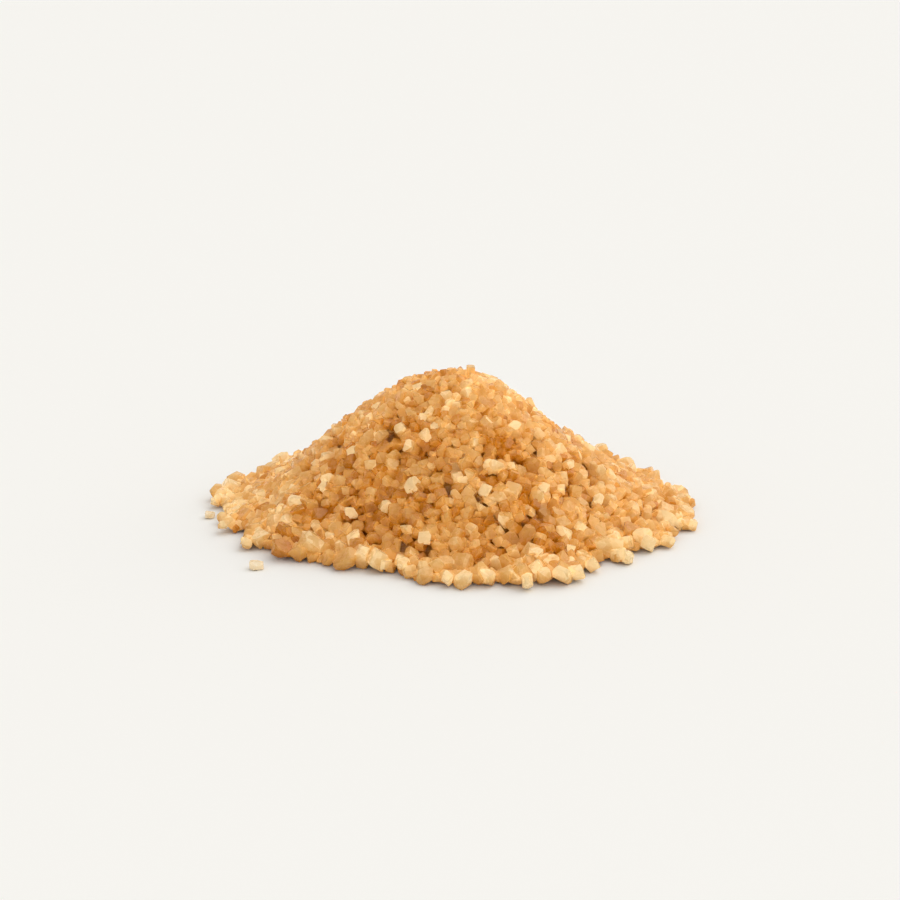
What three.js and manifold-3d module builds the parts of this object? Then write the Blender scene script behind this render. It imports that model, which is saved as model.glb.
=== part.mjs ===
// A small heap of golden crystal sugar, as it lies after it is poured on a flat surface, with two
// crystals that rolled clear of it. Millimetres, +Z up. The origin is on the surface, under the
// middle of the whole. +X runs along the heap's length and -Y is its front.

import * as THREE from "three";
import { ConvexGeometry } from "three/addons/geometries/ConvexGeometry.js";
import { mergeVertices } from "three/addons/utils/BufferGeometryUtils.js";
import Module from "manifold-3d";

const wasm = await Module();
wasm.setup();

// ---- Driving dimensions -------------------------------------------------------------------

const HEAP_LENGTH = 51; // along X, to the foot of the slope, past which the foot's crystals reach
const HEAP_DEPTH = 45; // along Y
const HEAP_HEIGHT = 15.6;
const CRYSTAL = 1.4; // a usual crystal, across
const EDGE_THICKNESS = 0.6 * CRYSTAL; // the slope ends one crystal thick

// The slope is part straight cone, part bell: the cone is the angle of repose, and the bell
// rounds the shoulders and runs the foot out.
const BELL_SHARE = 0.5;
const TOP_ROUNDING = 0.1; // as a share of the foot's radius

// Tongues and bays of the foot: direction in degrees, reach as a share of the radius, half width.
const FOOT_LOBES = [
  { at: 293, reach: 0.05, spread: 11 },
  { at: 311, reach: -0.04, spread: 6 },
  { at: 342, reach: 0.02, spread: 8 },
  { at: 26, reach: -0.075, spread: 10 },
  { at: 63, reach: 0.04, spread: 16 },
  { at: 118, reach: -0.04, spread: 14 },
  { at: 152, reach: -0.07, spread: 9 },
  { at: 188, reach: 0.02, spread: 7 },
  { at: 212, reach: -0.02, spread: 12 },
  { at: 198, reach: -0.02, spread: 4 },
  { at: 218, reach: 0.03, spread: 6 },
  { at: 240, reach: -0.07, spread: 12 },
  { at: 268, reach: 0.02, spread: 6 },
];

// Swells and hollows that pouring leaves on the slope: centre, rise and half width.
const SWELLS = [
  { x: -11, y: 2, rise: 0.5, spread: 4 },
  { x: -20, y: 2, rise: -1.3, spread: 4 },
  { x: 11, y: 2, rise: -0.8, spread: 3 },
  { x: 18, y: 4, rise: -1, spread: 4 },
  { x: -7.5, y: -13.5, rise: -0.9, spread: 4.5 },
  { x: 9, y: -13, rise: 0.5, spread: 5 },
  { x: 4, y: 12, rise: -0.6, spread: 4.5 },
  { x: -9, y: 14, rise: 0.4, spread: 4 },
];

const SLOPE_RINGS = 16; // rows of facets from the foot to the top
const FACET_RISE = 0.4; // how far a facet's corner stands proud of the slope, or back from it
const FACET_SHIFT = 0.3; // how far it strays sideways

const SLOPE_CRYSTALS = 160;
const FOOT_CRYSTALS = 36;
const SMALLEST_CRYSTAL = 0.85 * CRYSTAL;
const LARGEST_CRYSTAL = 1.6 * CRYSTAL;

// Single crystals that stand out from the foot: direction in degrees, how far the crystal's
// middle lies beyond the foot, and its size.
const OUTER_CRYSTALS = [
  { at: 3, beyond: 0.3, size: 1.7 },
  { at: 167, beyond: 0.2, size: 1.4 },
  { at: 175, beyond: 0.4, size: 1.8 },
  { at: 194, beyond: 0.0, size: 1.4 },
  { at: 273, beyond: 0.0, size: 2.1 },
  { at: 288, beyond: 0.6, size: 2.1 },
  { at: 296, beyond: 0.3, size: 2.4 },
  { at: 316, beyond: 0.5, size: 1.9 },
  { at: 333, beyond: 0.1, size: 1.9 },
  { at: 346, beyond: 0.3, size: 1.7 },
];

// Crystals that lie by themselves on the surface: place, size and turn about the vertical.
const STRAY_CRYSTALS = [
  { name: "stray_crystal_front", x: -19.8, y: -18.9, size: 1.15, turn: 24 },
  { name: "stray_crystal_left", x: -26.4, y: -4.1, size: 0.95, turn: 71 },
];

// Sucrose is monoclinic: its end faces lean this far from square.
const CRYSTAL_LEAN = THREE.MathUtils.degToRad(13.3);
// A whole crystal's width, depth and height, as shares of its size across.
const CRYSTAL_SHAPE = new THREE.Vector3(1, 0.86, 0.72);
const CRYSTAL_BEVEL = 0.14; // the edge faces' width, as a share of the size

const SUGAR_COLOUR = 0xe1a05c;
const SUGAR_ROUGHNESS = 0.35;
const TABLE_DEPTH = 6;

const TURN = 2 * Math.PI;
const GOLDEN_ANGLE = Math.PI * (3 - Math.sqrt(5));
const UNSCALED = new THREE.Vector3(1, 1, 1);

// ---- Helpers ------------------------------------------------------------------------------

// A repeatable stream of numbers from 0 to 1.
function numbers(seed) {
  let state = seed;
  return () => {
    state = (state + 0x6d2b79f5) | 0;
    let t = Math.imul(state ^ (state >>> 15), 1 | state);
    t = (t + Math.imul(t ^ (t >>> 7), 61 | t)) ^ t;
    return ((t ^ (t >>> 14)) >>> 0) / 4294967296;
  };
}

// The same stream, from -1 to 1.
function offsets(seed) {
  const next = numbers(seed);
  return () => 2 * next() - 1;
}

function hump(distance, spread) {
  return Math.exp(-0.5 * (distance / spread) ** 2);
}

// The geometry's positions alone, with shared corners merged, as a solid.
function solidOf(geometry) {
  const bare = new THREE.BufferGeometry().setAttribute("position", geometry.getAttribute("position"));
  bare.setIndex(geometry.index);
  const merged = mergeVertices(bare, 1e-4);
  const vertProperties = new Float32Array(merged.attributes.position.array);
  const triVerts = new Uint32Array(merged.index.array);
  return new wasm.Manifold(new wasm.Mesh({ numProp: 3, vertProperties, triVerts }));
}

function geometryOf(solid) {
  const mesh = solid.getMesh();
  const geometry = new THREE.BufferGeometry();
  geometry.setAttribute("position", new THREE.BufferAttribute(mesh.vertProperties, mesh.numProp));
  geometry.setIndex(new THREE.BufferAttribute(mesh.triVerts, 1));
  geometry.computeVertexNormals();
  return geometry;
}

// ---- The heap's form ----------------------------------------------------------------------

// The foot's distance from the middle, in one direction: an oval with tongues and bays.
function footRadius(angle) {
  const length = HEAP_LENGTH * Math.sin(angle);
  const depth = HEAP_DEPTH * Math.cos(angle);
  const oval = (0.5 * HEAP_LENGTH * HEAP_DEPTH) / Math.hypot(length, depth);
  const heading = THREE.MathUtils.radToDeg(angle);
  let reach = 1;
  for (const lobe of FOOT_LOBES) {
    const away = THREE.MathUtils.euclideanModulo(heading - lobe.at + 180, 360) - 180;
    reach += lobe.reach * hump(away, lobe.spread);
  }
  return oval * reach;
}

// The slope's height over its foot, from 1 at the middle to 0 at the foot.
function slopeShare(outwards) {
  const rounded = Math.hypot(outwards, TOP_ROUNDING) - TOP_ROUNDING;
  const cone = 1 - rounded / (Math.hypot(1, TOP_ROUNDING) - TOP_ROUNDING);
  const bell = 0.5 + 0.5 * Math.cos(Math.PI * outwards);
  return THREE.MathUtils.lerp(cone, bell, BELL_SHARE);
}

// The heap's height over a point of the surface, without its facets and crystals.
function heapHeight(x, y) {
  const outwards = Math.min(1, Math.hypot(x, y) / footRadius(Math.atan2(y, x)));
  let height = EDGE_THICKNESS + (HEAP_HEIGHT - EDGE_THICKNESS) * slopeShare(outwards);
  for (const swell of SWELLS) {
    height += swell.rise * hump(Math.hypot(x - swell.x, y - swell.y), swell.spread) * (1 - outwards ** 4);
  }
  return height;
}

// A subdivided octahedron, spread out so that its equator is the foot and its upper half the
// slope. Each corner is moved a little at random, which breaks the slope into crystal faces.
function moundSolid() {
  const ball = new THREE.OctahedronGeometry(1, SLOPE_RINGS - 1);
  ball.deleteAttribute("normal");
  ball.deleteAttribute("uv");
  const mound = mergeVertices(ball, 1e-4);
  const corners = mound.attributes.position;
  const stray = offsets(11);
  for (let i = 0; i < corners.count; i++) {
    const corner = new THREE.Vector3().fromBufferAttribute(corners, i);
    const onFoot = Math.abs(corner.z) < 1e-3;
    const above = corner.z > 0;
    const fromTop = Math.acos(Math.min(1, Math.abs(corner.z)));
    const angle = Math.atan2(corner.y, corner.x);
    const radius = (footRadius(angle) * fromTop) / (Math.PI / 2);
    const x = radius * Math.cos(angle) + FACET_SHIFT * stray();
    const y = radius * Math.sin(angle) + FACET_SHIFT * stray();
    const rise = FACET_RISE * stray();
    if (onFoot) corners.setXYZ(i, x, y, 0);
    else if (above) corners.setXYZ(i, x, y, heapHeight(x, y) + rise);
    else corners.setXYZ(i, x, y, -TABLE_DEPTH * 0.5 * Math.abs(corner.z));
  }
  return solidOf(mound);
}

// ---- Crystals -----------------------------------------------------------------------------

// Crystals are longer or flatter than the usual one by up to a sixth.
function unevenShape(stray) {
  const shape = CRYSTAL_SHAPE.clone();
  return shape.multiply(new THREE.Vector3(1 + 0.1 * stray(), 1 + 0.16 * stray(), 1 + 0.16 * stray()));
}

// A plain leaning block round the origin, for crystals that are mostly buried.
function blockGeometry(size, shape) {
  const { x, y, z } = shape.clone().multiplyScalar(size);
  const lean = new THREE.Matrix4().makeShear(0, 0, 0, 0, Math.tan(CRYSTAL_LEAN), 0);
  return new THREE.BoxGeometry(x, y, z).applyMatrix4(lean);
}

// A whole crystal round the origin: a leaning block whose edges and corners are faces. Its 24
// points are each of the block's corners, drawn back along two of the three axes at a time.
function crystalGeometry(size, shape) {
  const half = shape.clone().multiplyScalar(size / 2);
  const bevel = CRYSTAL_BEVEL * size;
  const points = [];
  for (const kept of ["x", "y", "z"]) {
    const drawnBack = half.clone().subScalar(bevel);
    drawnBack[kept] = half[kept];
    for (let corner = 0; corner < 8; corner++) {
      const point = drawnBack.clone();
      if (corner & 1) point.x = -point.x;
      if (corner & 2) point.y = -point.y;
      if (corner & 4) point.z = -point.z;
      point.x += point.z * Math.tan(CRYSTAL_LEAN);
      points.push(point);
    }
  }
  return new ConvexGeometry(points);
}

function placed(geometry, position, rotation) {
  const quaternion = new THREE.Quaternion().setFromEuler(rotation);
  return solidOf(geometry.applyMatrix4(new THREE.Matrix4().compose(position, quaternion, UNSCALED)));
}

// Crystals spread evenly over the slope by the golden angle, each about half sunk and turned
// any way.
function slopeCrystals() {
  const next = numbers(23);
  const stray = offsets(29);
  return Array.from({ length: SLOPE_CRYSTALS }, (_, i) => {
    const outwards = 0.95 * Math.sqrt((i + 0.5) / SLOPE_CRYSTALS);
    const angle = i * GOLDEN_ANGLE + 0.05 * stray();
    const radius = outwards * footRadius(angle);
    const x = radius * Math.cos(angle);
    const y = radius * Math.sin(angle);
    const size = THREE.MathUtils.lerp(SMALLEST_CRYSTAL, LARGEST_CRYSTAL, next() ** 2);
    const position = new THREE.Vector3(x, y, heapHeight(x, y) + 0.12 * size * stray());
    const rotation = new THREE.Euler(TURN * next(), TURN * next(), TURN * next());
    return placed(blockGeometry(size, unevenShape(stray)), position, rotation);
  });
}

// A crystal that lies flat on the surface, its middle a little way beyond the foot.
function footCrystal(angle, beyond, size, turn, shape) {
  const radius = footRadius(angle) + beyond;
  const middle = (size * shape.z) / 2;
  const position = new THREE.Vector3(radius * Math.cos(angle), radius * Math.sin(angle), middle);
  return placed(crystalGeometry(size, shape), position, new THREE.Euler(0, 0, turn));
}

// The foot's own ragged edge of single crystals, and the few that stand out further.
function footCrystals() {
  const next = numbers(37);
  const stray = offsets(41);
  const edge = Array.from({ length: FOOT_CRYSTALS }, (_, i) => {
    const angle = (TURN * (i + 0.35 * stray())) / FOOT_CRYSTALS;
    const size = THREE.MathUtils.lerp(SMALLEST_CRYSTAL, LARGEST_CRYSTAL, next());
    return footCrystal(angle, -0.25 + 0.35 * stray(), size, TURN * next(), unevenShape(stray));
  });
  const outer = OUTER_CRYSTALS.map(({ at, beyond, size }) =>
    footCrystal(THREE.MathUtils.degToRad(at), beyond, size, TURN * next(), CRYSTAL_SHAPE),
  );
  return [...edge, ...outer];
}

// ---- The pieces ---------------------------------------------------------------------------

function sugar() {
  return new THREE.MeshStandardMaterial({ color: SUGAR_COLOUR, roughness: SUGAR_ROUGHNESS, metalness: 0 });
}

// The slope with the crystals that stand out of it, cut flat where it lies on the surface.
function sugarHeap() {
  const table = new THREE.BoxGeometry(2 * HEAP_LENGTH, 2 * HEAP_LENGTH, TABLE_DEPTH);
  table.translate(0, 0, -TABLE_DEPTH / 2);
  const heap = wasm.Manifold.union([moundSolid(), ...slopeCrystals(), ...footCrystals()]);
  const mesh = new THREE.Mesh(geometryOf(heap.subtract(solidOf(table))), sugar());
  mesh.name = "sugar_heap";
  return mesh;
}

function strayCrystal({ name, x, y, size, turn }) {
  const mesh = new THREE.Mesh(crystalGeometry(size, CRYSTAL_SHAPE), sugar());
  mesh.name = name;
  mesh.position.set(x, y, (size * CRYSTAL_SHAPE.z) / 2);
  mesh.rotation.z = THREE.MathUtils.degToRad(turn);
  return mesh;
}

const crystalSugar = new THREE.Group();
crystalSugar.name = "crystal_sugar";
crystalSugar.add(sugarHeap(), ...STRAY_CRYSTALS.map(strayCrystal));
const middle = new THREE.Box3().setFromObject(crystalSugar, true).getCenter(new THREE.Vector3());
crystalSugar.position.set(-middle.x, -middle.y, 0);

export default crystalSugar;
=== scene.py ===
"""A small heap of golden crystal sugar: Blender 4.5 scene.

The heap's solid is the frame. Here it is replaced by what it stands for: whole sugar crystals,
packed against each other over a core. The heap's form is read from the solid, so the crystals
lie where the solid says. Lengths are in millimetres until a mesh is made, which is in metres.
"""

from __future__ import annotations

import itertools
import logging
import math
from dataclasses import dataclass, field, replace
from enum import Enum

import bpy
import numpy as np
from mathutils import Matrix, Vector

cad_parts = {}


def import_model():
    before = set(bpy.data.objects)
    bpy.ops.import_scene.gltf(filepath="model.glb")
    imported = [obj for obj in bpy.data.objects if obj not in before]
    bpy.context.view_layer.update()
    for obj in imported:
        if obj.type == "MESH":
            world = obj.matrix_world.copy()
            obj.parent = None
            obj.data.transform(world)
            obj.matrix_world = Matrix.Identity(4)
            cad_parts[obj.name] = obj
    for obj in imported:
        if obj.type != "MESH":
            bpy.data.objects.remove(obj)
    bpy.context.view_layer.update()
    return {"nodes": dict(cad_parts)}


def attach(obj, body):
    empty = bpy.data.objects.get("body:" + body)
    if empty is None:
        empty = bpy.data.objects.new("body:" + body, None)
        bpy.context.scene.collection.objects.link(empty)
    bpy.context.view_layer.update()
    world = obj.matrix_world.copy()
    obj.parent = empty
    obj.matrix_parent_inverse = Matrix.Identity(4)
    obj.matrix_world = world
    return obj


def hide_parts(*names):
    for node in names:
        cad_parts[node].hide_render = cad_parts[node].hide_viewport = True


MM = 0.001
TURN = 2.0 * math.pi
BODY = "root"
HEAP_NODE = "sugar_heap"

log = logging.getLogger("crystal_sugar")


# ---- Numbers and colours --------------------------------------------------------------------


def linear(hex_colour: str) -> tuple[float, float, float, float]:
    """Turn an sRGB hex colour into linear light.

    Args:
        hex_colour: Six hex digits after a hash sign.

    Returns:
        Red, green, blue and an alpha of one.
    """
    channels = np.array([int(hex_colour[i : i + 2], 16) for i in (1, 3, 5)]) / 255.0
    low = channels / 12.92
    high = ((channels + 0.055) / 1.055) ** 2.4
    red, green, blue = np.where(channels <= 0.04045, low, high)
    return float(red), float(green), float(blue), 1.0


def units(vectors: np.ndarray) -> np.ndarray:
    """Scale vectors to length one along their last axis."""
    return vectors / np.linalg.norm(vectors, axis=-1, keepdims=True)


def blurred(values: np.ndarray, spread: float) -> np.ndarray:
    """Blur a square grid with a bell curve, as a product with its transform.

    Args:
        values: Grid of numbers that fade to zero at its edges.
        spread: Half width of the bell curve, in cells.

    Returns:
        The blurred grid.
    """
    rows = np.fft.fftfreq(values.shape[0])[:, None]
    columns = np.fft.rfftfreq(values.shape[1])[None, :]
    bell = np.exp(-2.0 * (math.pi * spread) ** 2 * (rows**2 + columns**2))
    return np.fft.irfft2(np.fft.rfft2(values) * bell, s=values.shape)


def turns_to(axes: np.ndarray, spins: np.ndarray) -> np.ndarray:
    """Make turns that carry +Z onto each axis, after a spin about +Z.

    The first column is any vector square to the axis, the second is the axis crossed with it,
    and the spin mixes the two by its cosine and sine.

    Args:
        axes: Unit vectors, one to a row.
        spins: Angles in radians, one for each axis.

    Returns:
        Rotation matrices, one for each axis.
    """
    helper = np.where(np.abs(axes[:, 2:3]) > 0.9, [[1.0, 0.0, 0.0]], [[0.0, 0.0, 1.0]])
    side = units(np.cross(helper, axes))
    across = np.cross(axes, side)
    cosine, sine = np.cos(spins)[:, None], np.sin(spins)[:, None]
    first = cosine * side + sine * across
    second = -sine * side + cosine * across
    return np.stack([first, second, axes], axis=2)


def any_axes(rng: np.random.Generator, count: int) -> np.ndarray:
    """Unit vectors that point every way alike."""
    return units(rng.normal(size=(count, 3)))


def plan_places(angles: np.ndarray, radii: np.ndarray, widths: np.ndarray) -> np.ndarray:
    """Rows of x, y and width, from directions and distances from the middle."""
    return np.column_stack([radii * np.cos(angles), radii * np.sin(angles), widths])


# ---- Meshes ---------------------------------------------------------------------------------


def corners_of(node: bpy.types.Object) -> np.ndarray:
    """The corners of a node's mesh in mm, one to a row."""
    points = np.empty(len(node.data.vertices) * 3, dtype=np.float32)
    node.data.vertices.foreach_get("co", points)
    return points.reshape(-1, 3) / MM


def mesh_object(
    name: str,
    corners: np.ndarray,
    triangles: np.ndarray,
    point_values: dict[str, np.ndarray] | None = None,
    face_values: dict[str, np.ndarray] | None = None,
) -> bpy.types.Object:
    """Put whole arrays into a new mesh object at the origin.

    Args:
        name: Name of the object and of its mesh.
        corners: Places in millimetres, one to a row.
        triangles: Corner numbers, three to a row, anticlockwise seen from outside.
        point_values: Named numbers, one for each corner.
        face_values: Named numbers, one for each triangle.

    Returns:
        The object, linked to the scene.
    """
    mesh = bpy.data.meshes.new(name)
    mesh.vertices.add(len(corners))
    mesh.vertices.foreach_set("co", (corners * MM).astype(np.float32).ravel())
    mesh.loops.add(triangles.size)
    mesh.loops.foreach_set("vertex_index", triangles.astype(np.int32).ravel())
    mesh.polygons.add(len(triangles))
    mesh.polygons.foreach_set("loop_start", np.arange(0, triangles.size, 3, dtype=np.int32))
    mesh.update(calc_edges=True)
    mesh.shade_flat()
    for domain, named in (("POINT", point_values), ("FACE", face_values)):
        for value_name, values in (named or {}).items():
            layer = mesh.attributes.new(value_name, "FLOAT", domain)
            layer.data.foreach_set("value", values.astype(np.float32).ravel())
    made = bpy.data.objects.new(name, mesh)
    bpy.context.scene.collection.objects.link(made)
    return made


@dataclass(frozen=True)
class Solid:
    """A closed shape: its corners, its triangles and the flat face that each triangle is in."""

    corners: np.ndarray
    triangles: np.ndarray
    faces: np.ndarray


def solid_inside(planes: np.ndarray) -> Solid:
    """Work out the solid that a set of planes encloses.

    Every three planes meet at a point, and that point is a corner if it lies behind all the
    others. A face is the corners on its plane, in order of their angle about the middle of it.

    Args:
        planes: Outward unit normal and distance from the origin, four numbers to a row.

    Returns:
        The solid, each face as a fan of triangles.
    """
    parallel, behind_by, on_plane = 1e-4, 1e-7, 1e-5
    normals, distances = planes[:, :3], planes[:, 3]
    triples = np.array(list(itertools.combinations(range(len(planes)), 3)))
    crossing = np.abs(np.linalg.det(normals[triples])) > parallel
    triples = triples[crossing]
    points = np.linalg.solve(normals[triples], distances[triples][..., None])[..., 0]
    behind = (points @ normals.T <= distances + behind_by).all(axis=1)
    corners = np.unique(np.round(points[behind], 6), axis=0)
    fans, faces = [], []
    for normal, distance in zip(normals, distances):
        on_face = np.flatnonzero(np.abs(corners @ normal - distance) < on_plane)
        if len(on_face) < 3:
            continue
        turn = turns_to(normal[None], np.zeros(1))[0]
        flat = (corners[on_face] - corners[on_face].mean(axis=0)) @ turn
        ring = on_face[np.argsort(np.arctan2(flat[:, 1], flat[:, 0]))]
        fans.append(np.stack([np.full(len(ring) - 2, ring[0]), ring[1:-1], ring[2:]], axis=1))
        faces.append(np.full(len(ring) - 2, len(faces)))
    return Solid(corners, np.concatenate(fans), np.concatenate(faces))


# ---- The heap's form ------------------------------------------------------------------------


@dataclass
class HeapForm:
    """The heap's smooth form, read from its solid.

    Points are strewn over the solid's triangles, and the height of a grid cell is that of the
    highest point in it. The grid is then blurred over about a crystal's width, and divided by
    the blurred plan of the heap, so that its foot stays as thick as it is.

    Attributes:
        cell: Grid spacing, in mm.
        reach: Half the grid's width, in mm.
        smoothing: Half width of the blur, in mm.
        fineness: Points along each side of a triangle.
        thinnest: Height at which the heap counts as being there, in mm.
        least_plan: The least of the blurred plan that heights are divided by.
        directions: How many directions the foot is measured in.
        foot_step: Spacing of the places that are tried along a direction, in mm.
        painted_foot_glow: How much paler the foot is, where it is one crystal thick: painted light
        for the white floor shining through the thin sugar.
        glow_height: Height of the heap at which that has faded, in mm.
        painted_shade: How much deeper the colour is at the glow's depth: painted shade in the gaps.
        glow_depth: The depth under the surface that little light comes back from, in mm.
        painted_shade_range: Lowest and highest depth that still tells, as shares of the glow's
            depth.
    """

    cell: float = 0.4
    reach: float = 32.0
    smoothing: float = 1.1
    fineness: int = 12
    thinnest: float = 0.05
    least_plan: float = 0.05
    directions: int = 720
    foot_step: float = 0.05
    painted_foot_glow: float = 0.18
    glow_height: float = 1.5
    painted_shade: float = 0.45
    glow_depth: float = 1.8
    painted_shade_range: tuple[float, float] = (-0.4, 1.2)
    heights: np.ndarray = field(init=False)
    plan: np.ndarray = field(init=False)
    foot: np.ndarray = field(init=False)

    def read(self, node: bpy.types.Object) -> None:
        """Measure the heap's heights and its foot from its solid."""
        node.data.calc_loop_triangles()
        corner_numbers = np.empty(len(node.data.loop_triangles) * 3, dtype=np.int32)
        node.data.loop_triangles.foreach_get("vertices", corner_numbers)
        triangles = corners_of(node)[corner_numbers.reshape(-1, 3)]
        top = self._highest(self._strewn(triangles))
        covered = (top > self.thinnest).astype(float)
        spread = self.smoothing / self.cell
        self.plan = blurred(covered, spread)
        self.heights = blurred(top * covered, spread) / np.maximum(self.plan, self.least_plan)
        self.foot = self._measured_foot()

    def _strewn(self, triangles: np.ndarray) -> np.ndarray:
        """Points strewn evenly over triangles, by their shares of the three corners."""
        steps = np.arange(self.fineness + 1) / self.fineness
        first, second = np.meshgrid(steps, steps, indexing="ij")
        kept = first + second <= 1.0 + 1e-9
        first, second = first[kept], second[kept]
        shares = np.stack([first, second, 1.0 - first - second], axis=1)
        return np.einsum("pk,tkc->tpc", shares, triangles).reshape(-1, 3)

    def _highest(self, points: np.ndarray) -> np.ndarray:
        """The height of the highest point in each cell of the grid."""
        width = int(2 * self.reach / self.cell)
        place = np.floor((points[:, :2] + self.reach) / self.cell).astype(int)
        top = np.zeros((width, width))
        np.maximum.at(top, (place[:, 0], place[:, 1]), points[:, 2])
        return top

    def _at(self, grid: np.ndarray, x: np.ndarray, y: np.ndarray) -> np.ndarray:
        """A grid's value at places between its cells, in proportion to the nearest four."""
        across = np.clip((x + self.reach) / self.cell - 0.5, 0.0, grid.shape[0] - 1.001)
        along = np.clip((y + self.reach) / self.cell - 0.5, 0.0, grid.shape[1] - 1.001)
        i, j = across.astype(int), along.astype(int)
        u, v = across - i, along - j
        near = grid[i, j] * (1 - v) + grid[i, j + 1] * v
        far = grid[i + 1, j] * (1 - v) + grid[i + 1, j + 1] * v
        return near * (1 - u) + far * u

    def _measured_foot(self) -> np.ndarray:
        """The foot's distance from the middle in each direction: the last place inside it."""
        angles = TURN * np.arange(self.directions) / self.directions
        outwards = np.arange(0.0, self.reach - 1.0, self.foot_step)
        x = outwards[None, :] * np.cos(angles)[:, None]
        y = outwards[None, :] * np.sin(angles)[:, None]
        inside = self._at(self.plan, x, y) > 0.5
        return np.where(inside, outwards[None, :], 0.0).max(axis=1)

    def height(self, x: np.ndarray, y: np.ndarray) -> np.ndarray:
        """The heap's height over places on the surface."""
        return self._at(self.heights, x, y)

    def foot_radius(self, angle: np.ndarray) -> np.ndarray:
        """The foot's distance from the middle in given directions, in radians."""
        place = np.mod(angle, TURN) / TURN * self.directions
        return np.interp(place, np.arange(self.directions + 1), np.append(self.foot, self.foot[0]))

    def painted_glow_and_shade(self, places: np.ndarray) -> np.ndarray:
        """Painted light and shade at places: paler where the heap is thin, deeper under its
        surface.

        It adds painted light by the bell of the heap's height, for the white floor shining through
        the thin foot, and painted shade in proportion to the depth under the heap's surface, for
        the shade in the gaps between crystals.

        Args:
            places: Places in mm.

        Returns:
            What to add to the tint at each place.
        """
        height = self.height(places[:, 0], places[:, 1])
        # Painted shade: the deeper a place lies under the surface, the deeper its colour; painted
        # light where the heap is thin.
        under = np.clip((height - places[:, 2]) / self.glow_depth, *self.painted_shade_range)
        return self.painted_foot_glow * np.exp(-((height / self.glow_height) ** 2)) - self.painted_shade * under

    def normals(self, x: np.ndarray, y: np.ndarray) -> np.ndarray:
        """Which way the slope faces: the height's fall along X and Y, and one along Z."""
        step = self.smoothing
        fall_x = (self.height(x - step, y) - self.height(x + step, y)) / (2 * step)
        fall_y = (self.height(x, y - step) - self.height(x, y + step)) / (2 * step)
        return units(np.stack([fall_x, fall_y, np.ones_like(fall_x)], axis=-1))


# ---- Crystals -------------------------------------------------------------------------------


class Habit(Enum):
    """How a sucrose crystal grew: the distance of each of its faces from its middle.

    A face is named by its Miller indices, and its opposite is as far on the other side.
    """

    BLOCK = {
        (1, 0, 0): 0.78, (0, 0, 1): 0.76, (0, 1, 0): 0.84, (1, 0, -1): 1.00,
        (1, 1, 0): 1.06, (1, -1, 0): 1.06,
    }
    PRISM = {
        (1, 0, 0): 0.70, (0, 0, 1): 0.66, (1, 0, -1): 0.82, (1, 1, 0): 1.04,
        (1, -1, 0): 1.00, (0, 1, 1): 1.02,
    }
    WEDGE = {
        (1, 0, 0): 0.66, (0, 0, 1): 0.82, (1, 0, -1): 0.84, (1, 1, 0): 0.80,
        (1, -1, 0): 1.02, (0, 1, -1): 0.94,
    }
    TABLET = {
        (1, 0, 0): 0.56, (0, 0, 1): 0.88, (0, 1, 0): 0.90, (1, 0, -1): 1.02,
        (1, 1, 0): 1.02, (0, 1, 1): 1.12,
    }
    CHIP = {
        (1, 0, 0): 0.80, (0, 1, 1): 0.78, (1, -1, 1): 0.92, (1, 1, 0): 0.84,
        (0, 1, -2): 0.92,
    }


@dataclass(frozen=True)
class CrystalGrower:
    """Grows sugar crystals about one unit in radius.

    Sucrose is monoclinic. A face with Miller indices (h, k, l) is square to h times, k times
    and l times the three vectors that are the inverse of the cell's edges.

    Attributes:
        cell_edges: Lengths of the cell's edges a, b and c, in angstrom.
        cell_angle: Angle between a and c, in degrees.
        unevenness: How far a face strays from its habit's distance, as a share of it.
        lean: How far a face strays from its true direction.
        wear: How much of a worn corner has rubbed off, as a share of its reach.
        wear_range: Least and most wear of a corner, as shares of the usual one.
        worn_corners: How many corners are worn.
    """

    cell_edges: tuple[float, float, float] = (10.86, 8.70, 7.76)
    cell_angle: float = 102.9
    unevenness: float = 0.18
    lean: float = 0.02
    wear: float = 0.13
    wear_range: tuple[float, float] = (0.5, 1.5)
    worn_corners: int = 4

    def _face_normals(self, indices: np.ndarray) -> np.ndarray:
        """Unit normals of the faces with these Miller indices."""
        a, b, c = self.cell_edges
        beta = math.radians(self.cell_angle)
        edges = np.array([[a * math.sin(beta), 0, a * math.cos(beta)], [0, b, 0], [0, 0, c]])
        return units(indices @ np.linalg.inv(edges).T)

    def grow(self, habit: Habit, rng: np.random.Generator) -> Solid:
        """Grow one crystal.

        Its faces are moved in or out a little. Then the corners that stick out furthest are
        cut by a small face square to the line from the middle.

        Args:
            habit: The crystal's kind.
            rng: Source of its unevenness.

        Returns:
            The crystal, round the origin.
        """
        indices = np.array(list(habit.value))
        distances = np.array(list(habit.value.values()))
        normals = self._face_normals(np.concatenate([indices, -indices]))
        normals = units(normals + self.lean * rng.normal(size=normals.shape))
        distances = np.tile(distances, 2) * (1 + self.unevenness * rng.uniform(-1, 1, len(normals)))
        planes = np.column_stack([normals, distances])
        corners = solid_inside(planes).corners
        reach = np.linalg.norm(corners, axis=1)
        furthest = np.argsort(-reach)[: self.worn_corners]
        worn = self.wear * rng.uniform(*self.wear_range, self.worn_corners)
        cut = reach[furthest] * (1 - worn)
        cuts = np.column_stack([units(corners[furthest]), cut])
        return solid_inside(np.vstack([planes, cuts]))


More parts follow.
